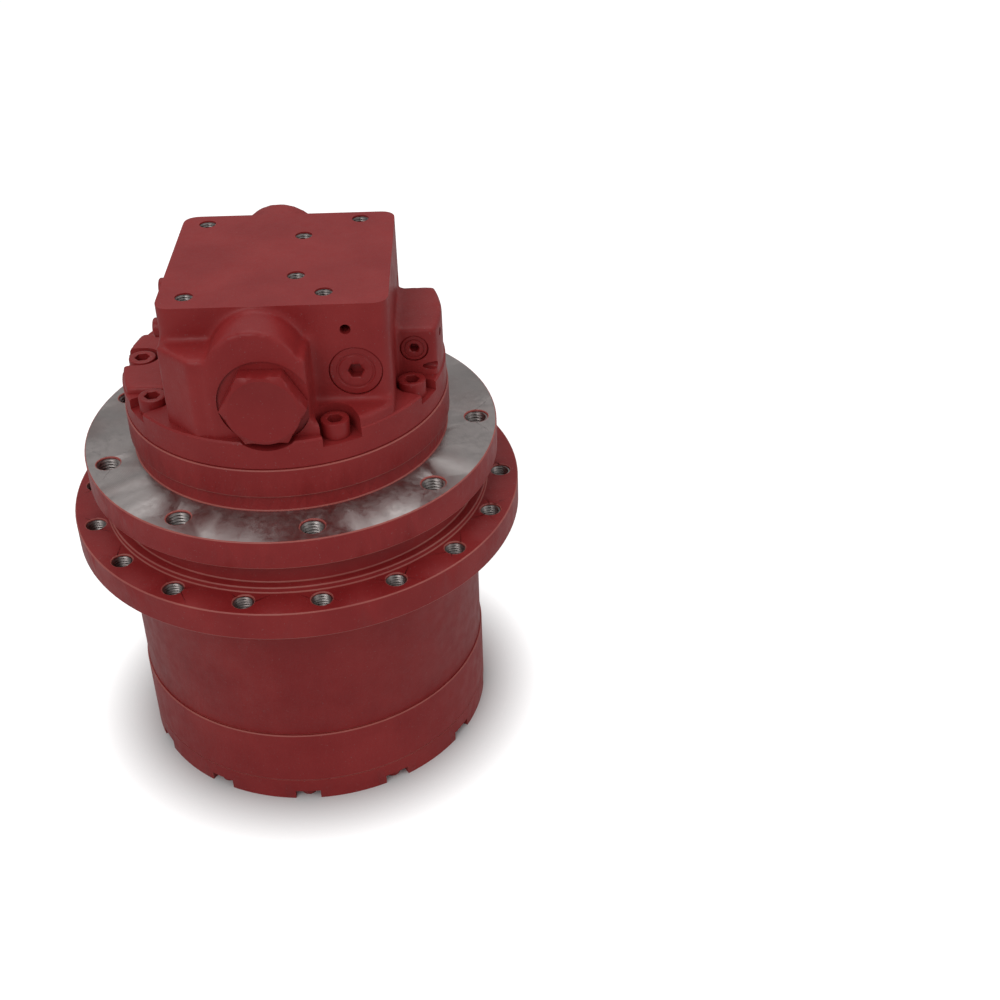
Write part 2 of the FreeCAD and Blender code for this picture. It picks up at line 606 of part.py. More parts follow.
def build():
    """Write every node."""
    save("end_cover", end_cover())
    save("cover_plugs", cover_plugs())
    save("ring_gear", ring_gear())
    save("sprocket_housing", sprocket_housing())
    save("motor_casing", motor_casing())
    for letter, angle in zip("abc", PLANET_ANGLES):
        save("planet_1" + letter, planet(angle, STAGE_1_BOTTOM, STAGE_1_TOP, PIN_1_D))
        save("planet_2" + letter, planet(angle, STAGE_2_BOTTOM, STAGE_2_TOP, PIN_2_D))
    save("planet_carrier", planet_carrier())
    save("fixed_carrier", fixed_carrier())
    save("sun_gear_1", sun_gear_1())
    save("sun_gear_2", sun_gear_2())
    for name, part in zip(("main_bearing_inner", "main_bearing_outer"), main_bearing()):
        save(name, part)
    save("shaft_bearing", shaft_bearing())
    save("drive_shaft", drive_shaft())
    save("swash_plate", swash_plate())
    save("cylinder_block", cylinder_block())
    save("valve_plate", valve_plate())
    save("rear_cover", rear_cover())
    save("hex_plug_front", hex_plug(SPOOL_SEAT_FRONT, -1))
    save("hex_plug_back", hex_plug(SPOOL_SEAT_BACK, 1))
    save("flush_plug", socket_plug(FLUSH_PLUG, BLOCK_FRONT, FLUSH_SOCKET_AF))
    save("wing_plug", socket_plug(WING_PLUG, WING_FRONT, WING_SOCKET_AF))
    save("side_plugs", side_plugs())
    save("counterbalance_spool", counterbalance_spool())


if __name__ == "__main__":
    os.makedirs("parts", exist_ok=True)
    build()
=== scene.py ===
"""Looks of a hydraulic travel motor with a two-stage planetary final drive.

Lengths in the dataclasses are millimetres; meshes are in metres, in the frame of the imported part.
The rear cover's own frame is turned about +Z, as BLOCK_TURN says.
"""

import json
import logging
import math
from dataclasses import dataclass, field
from enum import Enum

import bmesh
import bpy
import numpy as np
from mathutils import Matrix, Vector


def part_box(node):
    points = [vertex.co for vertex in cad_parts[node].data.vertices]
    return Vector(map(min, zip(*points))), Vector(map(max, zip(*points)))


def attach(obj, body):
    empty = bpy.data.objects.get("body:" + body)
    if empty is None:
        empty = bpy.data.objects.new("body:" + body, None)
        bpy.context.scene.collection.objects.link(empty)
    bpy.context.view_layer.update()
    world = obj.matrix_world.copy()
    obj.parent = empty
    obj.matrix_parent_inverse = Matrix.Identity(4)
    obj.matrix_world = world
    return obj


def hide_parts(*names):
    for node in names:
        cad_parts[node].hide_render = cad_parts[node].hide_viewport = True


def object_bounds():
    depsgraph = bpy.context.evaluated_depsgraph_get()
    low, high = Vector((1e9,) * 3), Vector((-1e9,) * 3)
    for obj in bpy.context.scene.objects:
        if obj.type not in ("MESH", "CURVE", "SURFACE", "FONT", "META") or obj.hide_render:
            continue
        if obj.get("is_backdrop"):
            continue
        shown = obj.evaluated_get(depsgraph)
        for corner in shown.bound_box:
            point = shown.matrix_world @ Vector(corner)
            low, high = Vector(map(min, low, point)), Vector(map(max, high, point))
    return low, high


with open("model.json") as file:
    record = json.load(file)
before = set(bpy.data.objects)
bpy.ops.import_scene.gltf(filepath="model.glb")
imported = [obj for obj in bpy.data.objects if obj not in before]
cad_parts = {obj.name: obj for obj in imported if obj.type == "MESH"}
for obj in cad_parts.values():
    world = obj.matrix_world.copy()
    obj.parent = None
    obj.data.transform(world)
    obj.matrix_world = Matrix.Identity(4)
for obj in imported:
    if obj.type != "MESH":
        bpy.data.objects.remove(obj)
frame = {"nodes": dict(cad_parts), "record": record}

log = logging.getLogger("final_drive")
MM = 0.001
BLOCK_TURN = math.radians(-10.7)
REAR_SCREW_RADIUS = 84.5
REAR_SCREW_SEAT = 248.0
UP = (0.0, 0.0, 1.0)
DOWN = (0.0, 0.0, -1.0)


class Slot(Enum):
    """Material slots of the record."""

    PAINT = "red_paint"
    GEAR = "gear_steel"
    BEARING = "bearing_steel"
    MOTOR = "motor_steel"
    BRONZE = "bronze"


class Ring(Enum):
    """Outline of one ring of a turned or hexagonal surface."""

    ROUND = "round"
    HEX = "hex"


# ---------------------------------------------------------------- geometry


def turned(x: float, y: float, z: float) -> tuple[float, float, float]:
    """Place of a rear-cover point in the row's frame.

    Args:
        x: millimetres to the right in the rear cover's own frame.
        y: millimetres to the back.
        z: height in millimetres.

    Returns:
        The same point after the turn about +Z, in millimetres.
    """
    c, s = math.cos(BLOCK_TURN), math.sin(BLOCK_TURN)
    return (c * x - s * y, s * x + c * y, z)


def circle_places(radius: float, count: int, start: float, height: float) -> list[tuple[float, float, float]]:
    """Evenly spaced places on a circle about the main axis, in millimetres."""
    angles = np.radians(start + 360.0 / count * np.arange(count))
    return [(radius * math.cos(a), radius * math.sin(a), height) for a in angles]


def aimed(points: np.ndarray, origin: tuple[float, float, float],
          axis: tuple[float, float, float]) -> np.ndarray:
    """Turns local +Z to an axis and moves local zero to an origin.

    Args:
        points: array (..., 3) in millimetres.
        origin: new place of the local zero point, in millimetres.
        axis: direction of local +Z.

    Returns:
        The moved points, same shape.
    """
    turn = np.array(Vector(axis).to_track_quat("Z", "Y").to_matrix())
    return points @ turn.T + np.array(origin)


def ring_radius(kind: Ring, size: float, angle: np.ndarray) -> np.ndarray:
    """Radius at each angle: constant for a round ring, or the edge of a hexagon of that width across flats.

    A hexagon's edge lies at half its width over the cosine of the angle from the nearest flat's middle.
    """
    if kind is Ring.ROUND:
        return np.full_like(angle, size / 2)
    from_flat = np.mod(angle, math.pi / 3) - math.pi / 6
    return size / 2 / np.cos(from_flat)


def stacked(rings: list[tuple[Ring, float, float]], segments: int = 48) -> np.ndarray:
    """Closed surface through a stack of rings, with a pole at each end.

    Point (i, j) of the grid lies on ring i at the angle j * 2 pi / segments, at that ring's
    radius for the angle and at its height; the poles are rings of no size.

    Args:
        rings: outline, diameter or width across flats, and height of each ring.
        segments: points round each ring, a multiple of six.

    Returns:
        Array (rings + 2, segments, 3) in millimetres.
    """
    angle = np.arange(segments) * (2 * math.pi / segments)
    closed = [(Ring.ROUND, 0.0, rings[0][2]), *rings, (Ring.ROUND, 0.0, rings[-1][2])]
    rows = []
    for kind, size, height in closed:
        radius = ring_radius(kind, size, angle)
        level = np.full_like(angle, height)
        rows.append(np.stack([radius * np.cos(angle), radius * np.sin(angle), level], axis=-1))
    return np.array(rows)


def extruded(outline: np.ndarray, low: float, high: float) -> np.ndarray:
    """Closed prism on an outline that its middle point can see all of.

    Args:
        outline: array (n, 2) in millimetres.
        low: lower height.
        high: upper height.

    Returns:
        Array (4, n, 3): bottom pole, bottom outline, top outline, top pole.
    """
    middle = np.broadcast_to((outline.max(axis=0) + outline.min(axis=0)) / 2, outline.shape)
    rows = [(middle, low), (outline, low), (outline, high), (middle, high)]
    return np.array([np.column_stack([flat, np.full(len(flat), z)]) for flat, z in rows])


def rectangle(x0: float, x1: float, y0: float, y1: float, corner: float = 0.0,
              step: float = 1.5) -> np.ndarray:
    """Outline of a rectangle with rounded corners, sampled evenly.

    Points of the plain rectangle that lie in a corner's square are pulled onto the corner's circle.
    """
    nx, ny = int((x1 - x0) / step), int((y1 - y0) / step)
    bottom = np.column_stack([np.linspace(x0, x1, nx, endpoint=False), np.full(nx, y0)])
    right = np.column_stack([np.full(ny, x1), np.linspace(y0, y1, ny, endpoint=False)])
    top = np.column_stack([np.linspace(x1, x0, nx, endpoint=False), np.full(nx, y1)])
    left = np.column_stack([np.full(ny, x0), np.linspace(y1, y0, ny, endpoint=False)])
    points = np.vstack([bottom, right, top, left])
    if corner <= 0:
        return points
    centre = np.clip(points, [x0 + corner, y0 + corner], [x1 - corner, y1 - corner])
    away = points - centre
    length = np.linalg.norm(away, axis=1, keepdims=True)
    return centre + away * np.where(length > corner, corner / np.maximum(length, 1e-9), 1.0)


def clipped(outline: np.ndarray, radius: float) -> np.ndarray:
    """Pulls points outside a circle about the main axis straight in onto it."""
    length = np.linalg.norm(outline, axis=1, keepdims=True)
    return outline * np.minimum(1.0, radius / np.maximum(length, 1e-9))


def thread(diameter: float, pitch: float, length: float, wall: float) -> np.ndarray:
    """Sleeve whose inside is a screw thread.

    The inner radius at height z and angle a is the minor radius plus the depth times a triangle
    wave of z / pitch - a / (2 pi); the outside is a plain cylinder. The grid's first row is
    repeated by its last, so the sleeve is a closed ring.

    Args:
        diameter: nominal diameter.
        pitch: thread pitch.
        length: length from the mouth, which is at zero, downwards.
        wall: radial room between the thread's root and the sleeve's outside.

    Returns:
        Array (rows, 30, 3) in millimetres.
    """
    depth = 0.54 * pitch
    angle = np.arange(30) * (2 * math.pi / 30)
    heights = np.linspace(0.0, -length, int(length / pitch * 6) + 1)
    phase = np.mod(heights[:, None] / pitch - angle[None, :] / (2 * math.pi), 1.0)
    wave = 1.0 - np.abs(2.0 * phase - 1.0)
    radius = diameter / 2 - wall - depth * wave
    outer = np.full((2, 30), diameter / 2 - 0.02)
    radius = np.vstack([radius, outer])
    z = np.concatenate([heights, [-length, 0.0]])
    height = np.broadcast_to(z[:, None], radius.shape)
    return np.stack([radius * np.cos(angle), radius * np.sin(angle), height], axis=-1)


def grid_object(name: str, grids: list[np.ndarray], loop: bool = False) -> bpy.types.Object:
    """Object made of grids whose columns close on themselves.

    Face (i, j) joins rows i and i + 1 at columns j and j + 1; with loop, the last row joins the first.

    Args:
        name: the object's name.
        grids: arrays (rows, columns, 3) in millimetres.
        loop: whether rows close on themselves too.

    Returns:
        The object, in metres, with its normals pointing outwards.
    """
    corners, faces, offset = [], [], 0
    for grid in grids:
        rows, columns = grid.shape[:2]
        i = np.arange(rows if loop else rows - 1)[:, None]
        j = np.arange(columns)[None, :]
        below, above = i * columns, np.mod(i + 1, rows) * columns
        after = np.mod(j + 1, columns)
        quads = np.stack([below + j, below + after, above + after, above + j], axis=-1)
        faces.append(quads.reshape(-1, 4) + offset)
        corners.append(grid.reshape(-1, 3) * MM)
        offset += rows * columns
    mesh = bpy.data.meshes.new(name)
    mesh.from_pydata(np.vstack(corners), [], np.vstack(faces).tolist())
    thing = bpy.data.objects.new(name, mesh)
    bpy.context.scene.collection.objects.link(thing)
    tidy(thing)
    return thing


def tidy(thing: bpy.types.Object, sharp: float = 32.0) -> None:
    """Merges doubles, points the faces outwards and shades smooth up to an angle in degrees."""
    work = bmesh.new()
    work.from_mesh(thing.data)
    bmesh.ops.remove_doubles(work, verts=work.verts, dist=2e-6)
    bmesh.ops.dissolve_degenerate(work, edges=work.edges, dist=1e-7)
    bmesh.ops.recalc_face_normals(work, faces=work.faces)
    work.to_mesh(thing.data)
    work.free()
    smooth(thing, sharp)


def smooth(thing: bpy.types.Object, sharp: float = 32.0) -> None:
    """Shades smooth, and sharp across edges steeper than an angle in degrees."""
    thing.data.shade_smooth()
    thing.data.set_sharp_from_angle(angle=math.radians(sharp))


def apply_modifiers(thing: bpy.types.Object) -> None:
    """Bakes an object's modifiers into its mesh."""
    graph = bpy.context.evaluated_depsgraph_get()
    made = bpy.data.meshes.new_from_object(thing.evaluated_get(graph))
    thing.modifiers.clear()
    thing.data = made


def cut(thing: bpy.types.Object, cutter: bpy.types.Object, union: bool = False) -> None:
    """Takes a cutter out of an object, or adds it with union, and removes the cutter."""
    work = thing.modifiers.new("cut", "BOOLEAN")
    work.operation = "UNION" if union else "DIFFERENCE"
    work.solver = "MANIFOLD"
    work.object = cutter
    apply_modifiers(thing)
    bpy.data.objects.remove(cutter)


# ---------------------------------------------------------------- finishes


@dataclass
class NodeBench:
    """Small helper that adds shader nodes to one material and joins them."""

    material: bpy.types.Material
    tree: bpy.types.NodeTree = field(init=False)

    def __post_init__(self) -> None:
        """Clears the material's tree."""
        self.material.use_nodes = True
        self.tree = self.material.node_tree
        self.tree.nodes.clear()

    def add(self, kind: str, **values: object) -> bpy.types.Node:
        """Adds a node; values are socket names with underscores, links, or node settings."""
        node = self.tree.nodes.new(kind)
        for key, value in values.items():
            if hasattr(node, key):
                setattr(node, key, value)
                continue
            numbered = key[0] == "i" and key[1:].isdigit()
            socket = node.inputs[int(key[1:]) if numbered else key.replace("_", " ")]
            if isinstance(value, bpy.types.NodeSocket):
                self.tree.links.new(value, socket)
            else:
                socket.default_value = value
        return node

    def noise(self, scale: float, detail: float = 3.0, roughness: float = 0.5) -> bpy.types.NodeSocket:
        """Noise on Object coordinates; scale is in cycles per metre."""
        place = self.add("ShaderNodeTexCoord").outputs["Object"]
        node = self.add("ShaderNodeTexNoise", Vector=place, Scale=scale, Detail=detail, Roughness=roughness)
        return node.outputs["Fac"]

    def ramp(self, factor: bpy.types.NodeSocket, low: float, high: float, to_low: float = 0.0,
             to_high: float = 1.0) -> bpy.types.NodeSocket:
        """Maps a range of a value to another, clamped."""
        node = self.add("ShaderNodeMapRange", Value=factor, From_Min=low, From_Max=high,
                        To_Min=to_low, To_Max=to_high)
        return node.outputs["Result"]

    def mix(self, factor: bpy.types.NodeSocket, a: object, b: object) -> bpy.types.NodeSocket:
        """Mixes two colours."""
        node = self.add("ShaderNodeMix", data_type="RGBA", i0=factor, i6=a, i7=b)
        return node.outputs[2]

    def finish(self, colour: object, roughness: object, metallic: float, normal: bpy.types.NodeSocket,
               **values: object) -> None:
        """Adds the surface shader and the output."""
        shader = self.add("ShaderNodeBsdfPrincipled", Base_Color=colour, Roughness=roughness,
                          Metallic=metallic, Normal=normal, **values)
        self.add("ShaderNodeOutputMaterial", Surface=shader.outputs[0])


def rgb(red: float, green: float, blue: float) -> tuple[float, float, float, float]:
    """Opaque colour, linear."""
    return (red, green, blue, 1.0)


@dataclass(frozen=True)
class CastPaint:
    """Satin brick-red paint over cast or turned iron.

    Broad noise shifts the colour, fine noise gives the cast skin's grain, and sparse specks are dust.
    """

    name: str
    colour: tuple[float, float, float]
    light: tuple[float, float, float]
    grain: float = 0.00018
    rough: float = 0.42

    def material(self) -> bpy.types.Material:
        """Builds the material."""
        bench = NodeBench(bpy.data.materials.new(self.name))
        broad = bench.ramp(bench.noise(26.0, 4.0, 0.55), 0.35, 0.68)
        colour = bench.mix(broad, rgb(*self.colour), rgb(*self.light))
        specks = bench.ramp(bench.noise(950.0, 2.0), 0.68, 0.74)
        colour = bench.mix(specks, colour, rgb(*(0.7 * v + 0.06 for v in self.light)))
        rough = bench.ramp(bench.noise(120.0, 3.0), 0.3, 0.7, self.rough - 0.05, self.rough + 0.08)
        skin = bench.add("ShaderNodeBump", Height=bench.noise(620.0, 4.0, 0.6), Strength=0.55,
                         Distance=self.grain)
        waves = bench.add("ShaderNodeBump", Height=bench.noise(70.0, 2.0), Strength=0.4, Distance=0.0006,
                          Normal=skin.outputs[0])
        bench.finish(colour, rough, 0.0, waves.outputs[0], Specular_IOR_Level=0.28)
        return bench.material


@dataclass(frozen=True)
class TurnedSteel:
    """Bare steel with fine circular tool marks about the main axis and some staining."""

    name: str
    colour: tuple[float, float, float]
    stain: tuple[float, float, float]
    rough: float = 0.34
    pitch: float = 0.9

    def material(self) -> bpy.types.Material:
        """Builds the material; the marks are a sine of the distance from the axis."""
        bench = NodeBench(bpy.data.materials.new(self.name))
        place = bench.add("ShaderNodeTexCoord").outputs["Object"]
        flat = bench.add("ShaderNodeVectorMath", operation="MULTIPLY", i0=place, i1=(1.0, 1.0, 0.0))
        reach = bench.add("ShaderNodeVectorMath", operation="LENGTH", i0=flat.outputs[0])
        per_metre = 2 * math.pi / (self.pitch * MM)
        turns = bench.add("ShaderNodeMath", operation="MULTIPLY", i0=reach.outputs["Value"], i1=per_metre)
        marks = bench.add("ShaderNodeMath", operation="SINE", i0=turns.outputs[0]).outputs[0]
        broad = bench.ramp(bench.noise(24.0, 3.0, 0.5), 0.48, 0.95)
        colour = bench.mix(broad, rgb(*self.colour), rgb(*self.stain))
        rough = bench.ramp(bench.noise(300.0, 3.0), 0.3, 0.7, self.rough - 0.06, self.rough + 0.12)
        lathe = bench.add("ShaderNodeBump", Height=marks, Strength=0.16, Distance=0.00005)
        skin = bench.add("ShaderNodeBump", Height=bench.noise(800.0, 3.0), Strength=0.2, Distance=0.00004,
                         Normal=lathe.outputs[0])
        bench.finish(colour, rough, 1.0, skin.outputs[0])
        return bench.material


@dataclass(frozen=True)
class Finishes:
    """All finishes of the drive."""

    paint: bpy.types.Material
    edge: bpy.types.Material
    deep: bpy.types.Material
    bare: bpy.types.Material
    thread: bpy.types.Material
    gear: bpy.types.Material
    bearing: bpy.types.Material
    bronze: bpy.types.Material

    @staticmethod
    def build() -> "Finishes":
        """Makes each material once."""
        return Finishes(
            paint=CastPaint("red_paint_cast", (0.25, 0.017, 0.018), (0.30, 0.026, 0.026)).material(),
            # Lighter red for the bevels: partly edge wear, partly a painted highlight.
            edge=CastPaint(
                "red_paint_edge_wear_and_painted_highlight", (0.36, 0.085, 0.075), (0.42, 0.12, 0.10), 0.00005, 0.36).material(),
            deep=CastPaint(
                "red_paint_smooth", (0.235, 0.015, 0.016), (0.275, 0.022, 0.022), 0.00006, 0.36).material(),
            bare=TurnedSteel("bare_turned_steel", (0.42, 0.38, 0.37), (0.30, 0.20, 0.19)).material(),
            thread=TurnedSteel("thread_steel", (0.30, 0.27, 0.26), (0.14, 0.09, 0.085), 0.38, 3.0).material(),
            gear=TurnedSteel(
                "ground_gear_steel", (0.42, 0.41, 0.40), (0.33, 0.31, 0.29), 0.28, 0.5).material(),
            bearing=TurnedSteel(
                "bearing_steel_ground", (0.58, 0.58, 0.59), (0.5, 0.5, 0.5), 0.2, 0.4).material(),
            bronze=TurnedSteel("lapped_bronze", (0.60, 0.40, 0.17), (0.5, 0.32, 0.14), 0.3, 0.4).material(),
        )


# ---------------------------------------------------------------- sub-assemblies


@dataclass
class Assembly:
    """Base of the sub-assemblies: dresses pieces and hangs them on a body."""

    finishes: Finishes

    def add(self, piece: bpy.types.Object, body: str, slot: Slot, materials: list[bpy.types.Material],
            replaces: tuple[str, ...] = ()) -> bpy.types.Object:
        """Rides a piece on a body with its materials.

        Args:
            piece: the finished object.
            body: the body it moves with.
            slot: the record's material slot; not used.
            materials: the materials, in slot order.
            replaces: CAD nodes that it stands for.

        Returns:
            The piece.
        """
        piece.data.materials.clear()
        for material in materials:
            piece.data.materials.append(material)
        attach(piece, body)
        if replaces:
            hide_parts(*replaces)
        log.info("%s on %s: %d faces", piece.name, body, len(piece.data.polygons))
        return piece


@dataclass
class Casings(Assembly):
    """Turned casings of the gearbox and motor: copies of the CAD bodies with broken edges, whose bevels take
    a lighter red that is partly wear and partly a painted highlight.
    """

    bevel: float = 0.7
    steel_face: float = 0.209
    nodes: tuple[tuple[str, str], ...] = (
        ("end_cover", "housing"), ("ring_gear", "housing"), ("sprocket_housing", "housing"),
        ("motor_casing", "casing"))

    def build(self) -> None:
        """Makes the four casings."""
        for node, body in self.nodes:
            piece = self.copy_of(node)
            faces = self.face_materials(piece) if node == "motor_casing" else None
            coats = [self.finishes.paint, self.finishes.edge, self.finishes.bare]
            self.add(piece, body, Slot.PAINT, coats, (node,))
            if faces is not None:
                piece.data.polygons.foreach_set("material_index", faces)

    def copy_of(self, node: str) -> bpy.types.Object:
        """Merged copy of a CAD node with a bevel on its sharp edges."""
        source = frame["nodes"][node]
        piece = bpy.data.objects.new(node + "_finish", source.data.copy())
        bpy.context.scene.collection.objects.link(piece)
        work = bmesh.new()
        work.from_mesh(piece.data)
        bmesh.ops.remove_doubles(work, verts=work.verts, dist=2e-6)
        work.to_mesh(piece.data)
        work.free()
        smooth(piece)
        bevel = piece.modifiers.new("broken_edges", "BEVEL")
        bevel.width = self.bevel * MM
        bevel.segments = 2
        bevel.limit_method = "ANGLE"
        bevel.angle_limit = math.radians(40)
        # Bevel faces take slot 1, the lighter red: edge wear and a painted highlight.
        bevel.material = 1
        bevel.harden_normals = True
        return piece

    def face_materials(self, piece: bpy.types.Object) -> np.ndarray:
        """Material index of each face: bare steel on the frame flange's upper face."""
        count = len(piece.data.polygons)
        centre, normal = np.empty(count * 3), np.empty(count * 3)
        piece.data.polygons.foreach_get("center", centre)
        piece.data.polygons.foreach_get("normal", normal)
        bare = (np.abs(centre[2::3] - self.steel_face) < 5e-5) & (normal[2::3] > 0.9)
        return np.where(bare, 2, 0).astype(np.int32)


@dataclass
class Threads(Assembly):
    """Threads in the tapped holes of both flanges and of the rear cover's top."""

    sprocket: tuple[float, int, float, float] = (126.5, 18, 151.0, 169.0)
    frame_flange: tuple[float, int, float, float] = (112.5, 9, 190.8, 209.0)
    top_holes: tuple[tuple[float, float], ...] = (
        (-44.0, 48.0), (47.0, 50.0), (15.0, 28.0), (15.0, -25.0), (32.0, -46.5), (-44.0, -48.0))

    def build(self) -> None:
        """Makes one object of threads for each pattern."""
        self.flange("sprocket_threads", "housing", 12.0, 1.75, self.sprocket)
        self.flange("frame_threads", "casing", 14.0, 2.0, self.frame_flange)
        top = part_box("rear_cover")[1].z / MM
        sleeve = thread(10.0, 1.5, 14.0, 0.05)
        grids = [aimed(sleeve, turned(x, y, top - 0.9), UP) for x, y in self.top_holes]
        piece = grid_object("top_hole_threads", grids, loop=True)
        self.add(piece, "casing", Slot.PAINT, [self.finishes.thread])

    def flange(self, name: str, body: str, diameter: float, pitch: float,
               pattern: tuple[float, int, float, float]) -> None:
        """Threads right through a flange."""
        radius, count, low, high = pattern
        sleeve = thread(diameter, pitch, high - low - 2.0, 0.05)
        grids = [aimed(sleeve, place, UP) for place in circle_places(radius, count, 270.0, high - 1.0)]
        self.add(grid_object(name, grids, loop=True), body, Slot.PAINT, [self.finishes.thread])


@dataclass
class CapScrews(Assembly):
    """Socket-head cap screws of the gearbox cover and of the rear cover."""

    cover_radius: float = 103.5
    cover_start: float = 259.0
    rear_angles: tuple[float, ...] = (-65.6, -25.2, 27.5, 65.6, 122.0, 147.2, 180.0, 212.8)

    def head(self, diameter: float, height: float, socket: float) -> np.ndarray:
        """Closed head with a chamfer, a rounded foot and a hexagon socket."""
        lip = diameter - 0.12 * diameter
        depth = height * 0.55
        return stacked([
            (Ring.ROUND, diameter * 0.96, 0.0), (Ring.ROUND, diameter, 0.04 * height),
            (Ring.ROUND, diameter, 0.9 * height), (Ring.ROUND, diameter * 0.975, 0.965 * height),
            (Ring.ROUND, lip, height), (Ring.ROUND, socket * 1.24, height),
            (Ring.HEX, socket, height - 0.35), (Ring.HEX, socket, height - depth)])

    def build(self) -> None:
        """Makes the cover's twelve screws and the rear cover's eight."""
        small = self.head(10.0, 5.8, 5.0)
        places = circle_places(self.cover_radius, 12, self.cover_start, 6.0)
        grids = [aimed(small, place, DOWN) for place in places]
        self.add(grid_object("cover_screws", grids), "housing", Slot.PAINT, [self.finishes.deep])
        large = self.head(16.0, 10.0, 8.0)
        grids = []
        for angle in np.radians(self.rear_angles):
            grids.append(aimed(large, screw_place(angle), UP))
        self.add(grid_object("rear_cover_screws", grids), "casing", Slot.PAINT, [self.finishes.deep])


@dataclass
class RearCover(Assembly):
    """Cast rear cover: rounded casting on a turned disc, with machined bores and screw pockets."""

    voxel: float = 1.3
    smoothing: int = 20
    disc_d: float = 191.0
    low: float = 237.0
    disc_top: float = 254.0
    top: float = 320.0
    spool: tuple[float, float] = (-1.0, 275.0)
    top_holes: tuple[tuple[float, float], ...] = Threads.top_holes
    pockets: tuple[tuple[float, float], ...] = ((-65.6, 11.4), (-25.2, 9.2), (180.0, 10.5), (212.8, 9.4))
    cups: tuple[float, ...] = (27.5, 65.6, 122.0, 147.2)

    def lump(self, outline: np.ndarray, low: float, high: float) -> np.ndarray:
        """Upright prism of the casting, turned to its place."""
        return aimed_turn(extruded(outline, low, high))

    def casting(self) -> bpy.types.Object:
        """Joins the lumps, remeshes them to one skin and rounds every edge and corner by smoothing."""
        root, r = self.disc_top - 8.0, self.disc_d / 2 - 0.8
        boss_z = 292.0
        angle = np.linspace(0.0, math.pi, 40)
        arch = np.column_stack([-5.0 + 26.0 * np.cos(angle), boss_z + 26.0 * np.sin(angle)])
        boss = extruded(np.vstack([arch, [[-31.0, root], [21.0, root]]]), -88.0, 82.0)
        boss = aimed_turn(np.stack([boss[..., 0], boss[..., 2], boss[..., 1]], axis=-1))
        shelf = np.array([(-41.0, -88.0), (23.0, -88.0), (23.0, 0.0), (-59.0, 0.0), (-59.0, -68.0)])
        lumps = [
            self.lump(rectangle(-59.0, 67.5, -62.0, 59.5, 8.0), root, self.top + 5.0), boss,
            self.lump(clipped(shelf, r), root, 300.5),
            self.lump(clipped(rectangle(0.0, 67.5, -88.0, 0.0), r), root, 260.5),
            self.lump(clipped(rectangle(0.0, 97.0, -26.0, 29.5), 94.5), root, 284.5),
            self.lump(clipped(rectangle(-97.0, 0.0, -37.0, 30.0), r), root, 258.0)]
        body = grid_object("rear_cover_finish", lumps)
        remesh = body.modifiers.new("skin", "REMESH")
        remesh.mode = "VOXEL"
        remesh.voxel_size = self.voxel * MM
        soften = body.modifiers.new("soften", "SMOOTH")
        soften.factor = 0.5
        soften.iterations = self.smoothing
        apply_modifiers(body)
        return body

    def cutters(self) -> list[np.ndarray]:
        """Machined rooms: spot faces, plug bores, ports, tapped holes and screw pockets."""
        x, z = self.spool
        front, back = aimed_dir(0.0, -1.0), aimed_dir(0.0, 1.0)
        rooms = [
            extruded(rectangle(-100.0, 100.0, -100.0, 100.0), self.top, self.top + 20.0),
            aimed(pin(51.4, 60.0), turned(x, -86.5, z), front),
            aimed(pin(51.4, 60.0), turned(x, 80.5, z), back),
            aimed(pin(33.0, 16.0), turned(x, -70.5, z), front),
            aimed(pin(33.0, 16.0), turned(x, 64.5, z), back),
            aimed(pin(30.0, 20.0), turned(47.3, -50.0, 278.4), front),
            aimed(pin(6.0, 20.0), turned(43.4, -50.0, 304.6), front),
            aimed(pin(16.6, 20.0), turned(78.3, -14.0, 272.0), front),
            aimed(pin(26.4, 25.0), turned(-35.0, -24.0, 288.0), aimed_dir(-1.0, 0.0)),
            aimed(pin(26.4, 25.0), turned(-35.0, 24.0, 288.0), aimed_dir(-1.0, 0.0)),
            aimed(pin(20.9, 20.0), turned(45.0, 44.5, 272.0), back),
            aimed(pin(13.2, 20.0), turned(45.0, 44.5, 294.0), back)]
        rooms += [aimed(pin(10.0, 20.0), turned(px, py, self.top - 16.0), UP) for px, py in self.top_holes]
        for angle, height in ((-9.0, 277.0), (-15.8, 260.5)):
            a = math.radians(angle)
            place = turned(86.0 * math.cos(a), 86.0 * math.sin(a), height)
            rooms.append(aimed(pin(5.0, 20.0), place, aimed_dir(math.cos(a), math.sin(a))))
        for angle, radius in self.pockets:
            a = math.radians(angle)
            rooms.append(aimed(pin(2 * radius, 37.0), screw_place(a), UP))
            outline = rectangle(REAR_SCREW_RADIUS, 110.0, -radius, radius)
            c, s = math.cos(a), math.sin(a)
            outline = outline @ np.array([[c, s], [-s, c]])
            rooms.append(aimed_turn(extruded(outline, REAR_SCREW_SEAT, REAR_SCREW_SEAT + 37.0)))
        for angle in self.cups:
            rooms.append(aimed(pin(18.4, 40.0), screw_place(math.radians(angle)), UP))
        return rooms

    def build(self) -> None:
        """Makes the casting, joins it to the disc and cuts the rooms."""
        body = self.casting()
        d = self.disc_d
        disc = stacked([(Ring.ROUND, d - 1.2, self.low), (Ring.ROUND, d, self.low + 0.6),
                        (Ring.ROUND, d, self.disc_top - 1.0), (Ring.ROUND, d - 2.0, self.disc_top)], 144)
        cut(body, grid_object("disc", [disc]), union=True)
        for index, room in enumerate(self.cutters()):
            cut(body, grid_object(f"room_{index}", [room]))
        tidy(body, 38.0)
        self.add(body, "casing", Slot.PAINT, [self.finishes.paint], ("rear_cover",))


def pin(diameter: float, length: float) -> np.ndarray:
    """Plain closed cylinder from local zero upwards."""
    return stacked([(Ring.ROUND, diameter, 0.0), (Ring.ROUND, diameter, length)], 60)


def screw_place(angle: float) -> tuple[float, float, float]:
    """Seat of a rear cover screw at an angle in radians, in the row's frame."""
    return turned(REAR_SCREW_RADIUS * math.cos(angle), REAR_SCREW_RADIUS * math.sin(angle), REAR_SCREW_SEAT)


def aimed_dir(x: float, y: float) -> tuple[float, float, float]:
    """A level direction of the rear cover's frame, in the row's frame."""
    return turned(x, y, 0.0)


